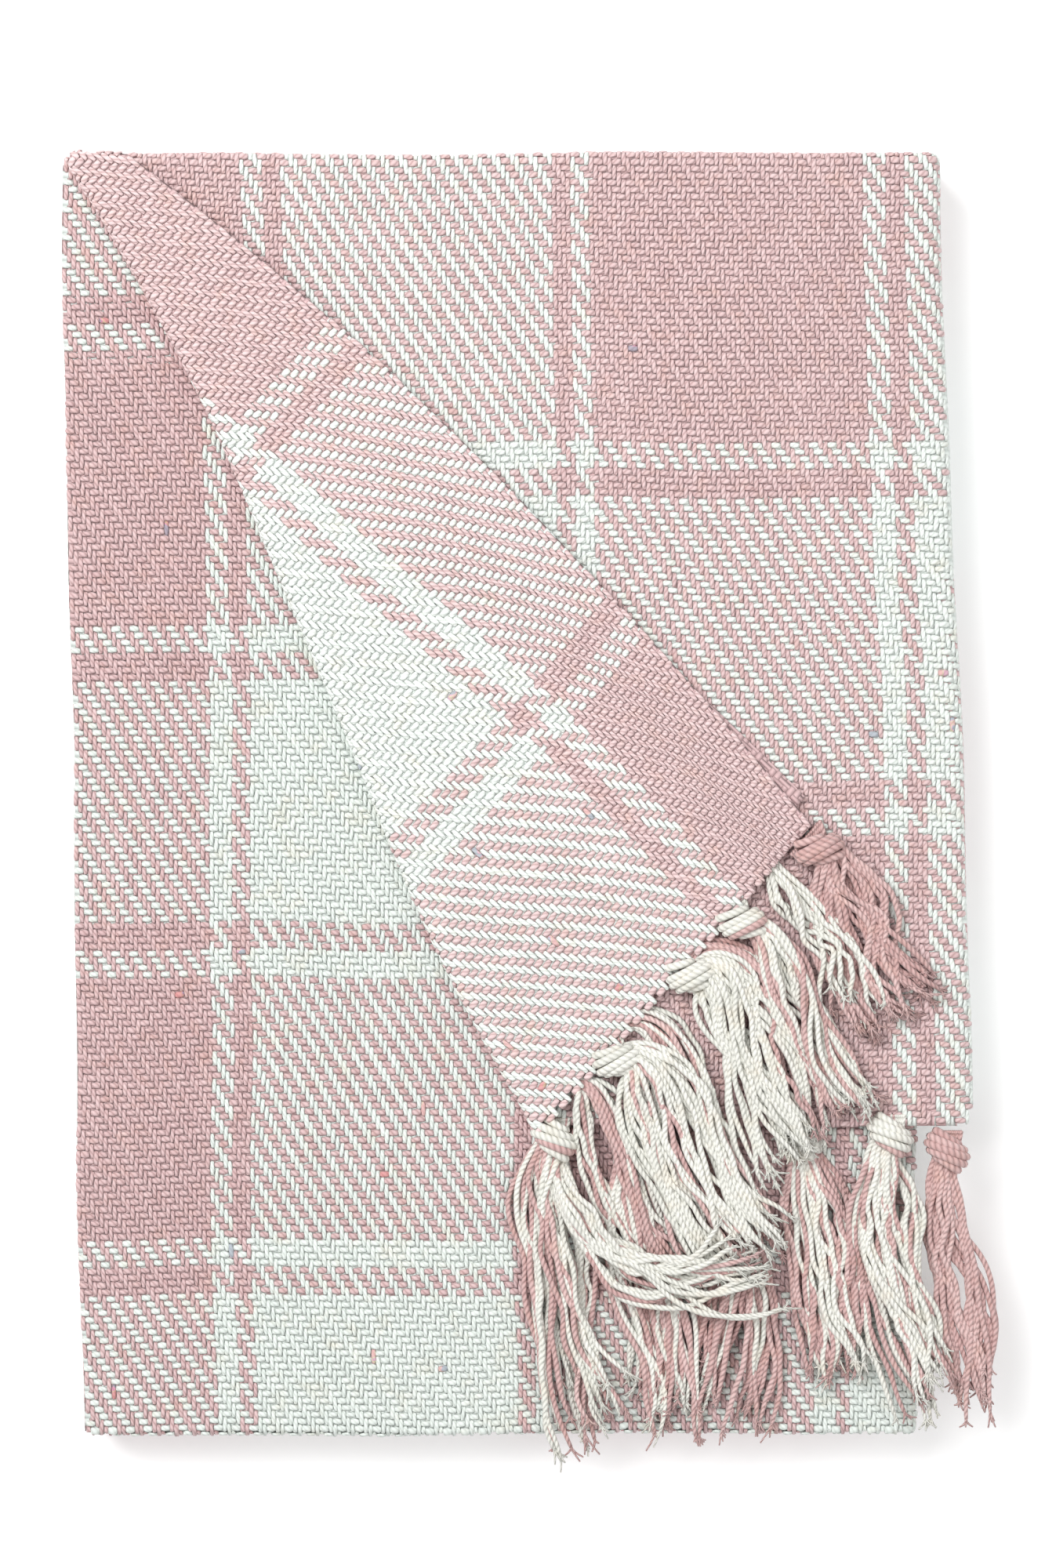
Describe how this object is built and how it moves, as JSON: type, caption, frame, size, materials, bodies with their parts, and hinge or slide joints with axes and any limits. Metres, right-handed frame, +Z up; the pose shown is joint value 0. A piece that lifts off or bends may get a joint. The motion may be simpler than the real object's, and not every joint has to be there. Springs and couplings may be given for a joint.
{
  "type": "folded throw blanket",
  "caption": "Cotton throw with a large two-colour check and knotted tassels, folded into a flat bundle with one free corner turned back over the top.",
  "frame": {"origin": "bottom centre of the folded bundle's box, on the surface it rests on", "axes": "+Z is up through the stack of leaves, +Y points to the end with the lengthwise folds, and +X points to the side that the top panel turns on"},
  "size_m": [0.3432, 0.4826, 0.0329],
  "materials": {
    "woven_cloth": "matt woven cotton twill in dusty pink and off-white",
    "yarn_pink": "matt twisted cotton yarn, dusty pink",
    "yarn_white": "matt twisted cotton yarn, off-white",
    "yarn_mixed": "matt twisted cotton yarn, dusty pink and off-white together"
  },
  "bodies": {
    "lower_half": {"bottom_base": "woven_cloth", "bottom_fringe": "yarn_mixed", "bottom_over": "woven_cloth", "third_base": "woven_cloth", "third_fringe": "yarn_mixed", "third_over": "woven_cloth"},
    "second_panel": {"second_base": "woven_cloth", "second_fringe": "yarn_mixed", "second_over": "woven_cloth"},
    "top_panel": {"edge_knot_1": "yarn_pink", "edge_knot_2": "yarn_white", "edge_knot_3": "yarn_white", "edge_knot_4": "yarn_white", "edge_knot_5": "yarn_white", "edge_knot_6": "yarn_white", "edge_tassel_1": "yarn_mixed", "edge_tassel_2": "yarn_mixed", "edge_tassel_3": "yarn_mixed", "edge_tassel_4": "yarn_mixed", "edge_tassel_5": "yarn_mixed", "edge_tassel_6": "yarn_mixed", "top_base": "woven_cloth", "top_over": "woven_cloth"},
    "corner": {"corner_knot_1": "yarn_pink", "corner_knot_2": "yarn_white", "corner_knot_3": "yarn_white", "corner_knot_4": "yarn_white", "corner_tassel_1": "yarn_pink", "corner_tassel_2": "yarn_white", "corner_tassel_3": "yarn_white", "corner_tassel_4": "yarn_white", "corner_tassel_between_1": "yarn_pink", "corner_tassel_between_2": "yarn_pink", "turned_corner": "woven_cloth"}
  },
  "joints": [
    {"name": "second_panel_fold", "type": "hinge", "parent": "lower_half", "child": "second_panel", "pos_m": [-0.17165, 0.2415, 0.0144], "axis": [0.0168, -0.9999, 0], "range_deg": [0, 180]},
    {"name": "top_panel_fold", "type": "hinge", "parent": "second_panel", "child": "top_panel", "pos_m": [0.15535, 0.2415, 0.0216], "axis": [-0.0367, 0.9993, 0], "range_deg": [0, 180]},
    {"name": "corner_crease", "type": "hinge", "parent": "top_panel", "child": "corner", "pos_m": [-0.16815, 0.2365, 0.0288], "axis": [0.4337, -0.9011, 0], "range_deg": [0, 180]}
  ]
}
